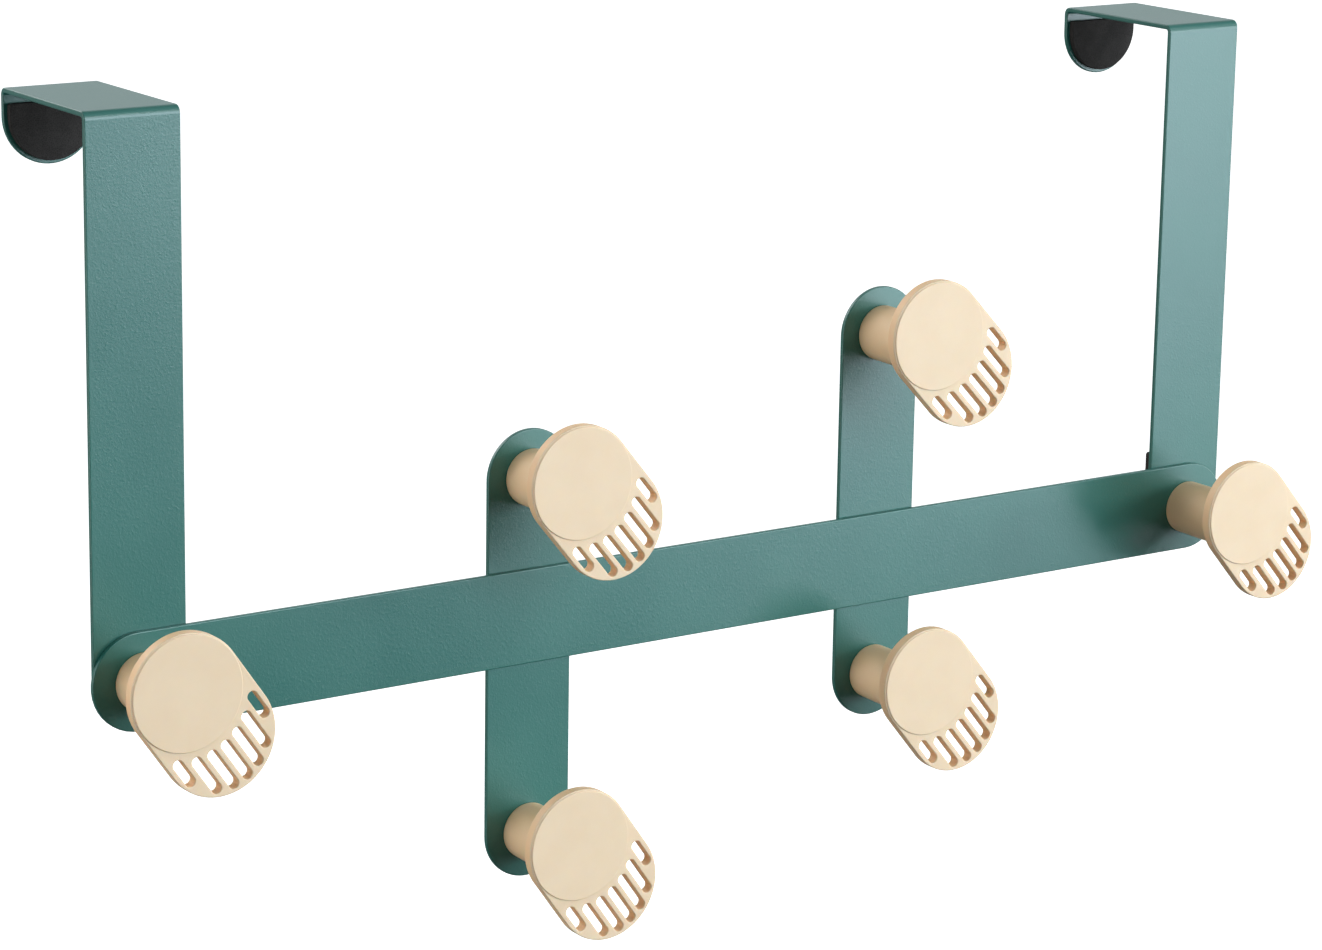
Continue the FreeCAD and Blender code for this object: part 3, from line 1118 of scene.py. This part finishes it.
@dataclass
class Studio:
    """Floor, sky and light panels, with lengths in metres."""

    floor_z: float = -0.9
    floor_radius: float = 14.0
    floor_edges: int = 96
    floor_grey: Colour = (0.6, 0.6, 0.6)
    floor_roughness: float = 0.9
    floor_glow: float = 0.95
    centre: Point = (0.0, 0.0, -0.11)
    panels: tuple[Panel, ...] = (
        Panel("key_panel", 24.2, 8.4, 1.9, 2.1, 0.79, 7.8, -35.1, (0.89, 1.0, 1.12)),
        Panel("cross_panel", 62.0, 6.0, 2.6, 0.45, 0.45, 34.0),
        Panel("bend_panel", 30.0, 36.0, 1.9, 1.4, 0.14, 9.0),
        Panel("edge_panel", -64.0, -15.0, 1.6, 0.16, 1.2, 6.5),
        Panel("side_panel", -102.0, 2.0, 1.35, 1.0, 0.9, 2.6),
        Panel("back_panel", -150.0, 35.0, 1.6, 1.2, 1.0, 3.0),
    )
    base_sky: float = 0.096
    sky_tint: Colour = (0.93, 1.0, 1.03)
    backdrop: float = 1.02
    glows: tuple[Glow, ...] = (
        Glow(35.0, 50.0, 0.6, 8.0, 52.0),
        Glow(145.0, 8.0, 0.8, 12.0, 60.0),
        Glow(-150.0, 20.0, 0.4, 10.0, 45.0),
    )

    def sky(self) -> None:
        """Makes the sky: pure white behind the rack, and soft patches of light for everything else."""
        world = bpy.data.worlds.new("studio_sky")
        world.use_nodes = True
        world.node_tree.nodes.clear()
        work = NodeWork(world.node_tree)
        way = work.node("ShaderNodeTexCoord").outputs["Generated"]
        strength: Any = self.base_sky
        for glow in self.glows:
            facing = work.term("ShaderNodeVectorMath", {"operation": "DOT_PRODUCT"},
                               {0: way, 1: heading(glow.azimuth, glow.elevation)}, "Value")
            rise = facing.ramp(math.cos(math.radians(glow.gone)), math.cos(math.radians(glow.full)))
            strength = strength + rise * glow.strength
        soft = work.node("ShaderNodeBackground", None,
                         {"Color": opaque(self.sky_tint), "Strength": strength})
        white = work.node("ShaderNodeBackground", None,
                          {"Color": opaque(WHITE), "Strength": self.backdrop})
        seen = work.node("ShaderNodeLightPath").outputs["Is Camera Ray"]
        both = work.node("ShaderNodeMixShader", None, {0: seen, 1: soft, 2: white})
        work.node("ShaderNodeOutputWorld", None, {"Surface": both})
        bpy.context.scene.world = world

    def floor(self) -> None:
        """Makes the plain pale floor, which throws no light back on the rack."""
        shape = bmesh.new()
        bmesh.ops.create_circle(shape, cap_ends=True, segments=self.floor_edges, radius=self.floor_radius)
        mesh = bpy.data.meshes.new("studio_floor")
        shape.to_mesh(mesh)
        shape.free()
        floor = bpy.data.objects.new("studio_floor", mesh)
        bpy.context.collection.objects.link(floor)
        floor.location.z = self.floor_z
        material = bpy.data.materials.new("pale_floor")
        material.use_nodes = True
        material.node_tree.nodes.clear()
        work = NodeWork(material.node_tree)
        shader = work.node("ShaderNodeBsdfPrincipled", None,
                           {"Base Color": opaque(self.floor_grey), "Roughness": self.floor_roughness,
                            "Emission Color": opaque(WHITE), "Emission Strength": self.floor_glow})
        work.node("ShaderNodeOutputMaterial", None, {"Surface": shader})
        floor.data.materials.append(material)
        floor.visible_diffuse = False
        floor.visible_glossy = False

    def light(self, panel: Panel) -> None:
        """Hangs one panel and turns it to the rack."""
        lamp = bpy.data.lights.new(panel.name, "AREA")
        lamp.shape = "RECTANGLE"
        lamp.size = panel.width
        lamp.size_y = panel.height
        lamp.energy = panel.watts
        lamp.color = panel.colour
        light = bpy.data.objects.new(panel.name, lamp)
        bpy.context.collection.objects.link(light)
        away = heading(panel.azimuth, panel.elevation)
        light.location = Vector(self.centre) + away * panel.distance
        facing = (-away).to_track_quat("-Z", "Y") @ Quaternion((0.0, 0.0, 1.0), math.radians(panel.roll))
        light.rotation_euler = facing.to_euler()

    def build(self) -> None:
        """Sets up the floor, the sky and the panels."""
        self.sky()
        self.floor()
        for panel in self.panels:
            self.light(panel)
        bpy.context.scene.view_settings.view_transform = "Standard"
        bpy.context.scene.view_settings.look = "None"


@dataclass
class Viewpoint:
    """The camera, where the photograph was taken from.

    The origin is the bar's left end, and slide is where it lies from the camera: right, up and back.
    """

    azimuth: float = -33.862
    elevation: float = 12.675
    roll: float = 0.866
    focal_pixels: float = 3920.6
    centre_pixels: tuple[float, float] = (641.4, 380.0)
    slide: Point = (-147.063, -82.670, -1052.382)
    origin: Point = (-200.0, -1.5, -154.5)
    sensor: float = 36.0
    nearest: float = 20.0
    farthest: float = 60000.0

    def axes(self) -> tuple[Vector, Vector, Vector]:
        """The camera's right, up and back directions.

        Returns:
            Three unit vectors in the rack's frame.
        """
        a, r = math.radians(self.azimuth), math.radians(self.roll)
        back = heading(self.azimuth, self.elevation)
        level = Vector((math.cos(a), math.sin(a), 0.0))
        rise = back.cross(level)
        right = level * math.cos(r) + rise * math.sin(r)
        up = rise * math.cos(r) - level * math.sin(r)
        return right, up, back

    def build(self) -> None:
        """Makes the camera and makes it the scene's own."""
        right, up, back = self.axes()
        x, y, z = self.slide
        spot = Vector(self.origin) - (right * x + up * y + back * z)
        lens = bpy.data.cameras.new("viewpoint")
        lens.sensor_width = self.sensor
        lens.lens = self.sensor * self.focal_pixels / IMAGE_WIDTH
        lens.shift_x = (IMAGE_WIDTH / 2.0 - self.centre_pixels[0]) / IMAGE_WIDTH
        lens.shift_y = (self.centre_pixels[1] - IMAGE_HEIGHT / 2.0) / IMAGE_WIDTH
        lens.clip_start = mm(self.nearest)
        lens.clip_end = mm(self.farthest)
        camera = bpy.data.objects.new("viewpoint", lens)
        bpy.context.collection.objects.link(camera)
        turn = Matrix((right, up, back)).transposed().to_4x4()
        camera.matrix_world = Matrix.Translation(spot * METRES_PER_MM) @ turn
        bpy.context.scene.camera = camera


def main() -> None:
    """Builds every sub-assembly in order and reports each piece."""
    logging.basicConfig(level=logging.INFO, format="%(name)s: %(message)s")
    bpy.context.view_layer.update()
    for node in SteelWork().dress():
        LOG.info("dressed %s", node)
    for knob in KnobMoulding().build():
        LOG.info("made %s", knob.name)
    for pad in Pads().build():
        LOG.info("made %s", pad.name)
    for node in Hardware().dress():
        LOG.info("dressed %s", node)
    Studio().build()
    Viewpoint().build()


if __name__ == "__main__":
    main()
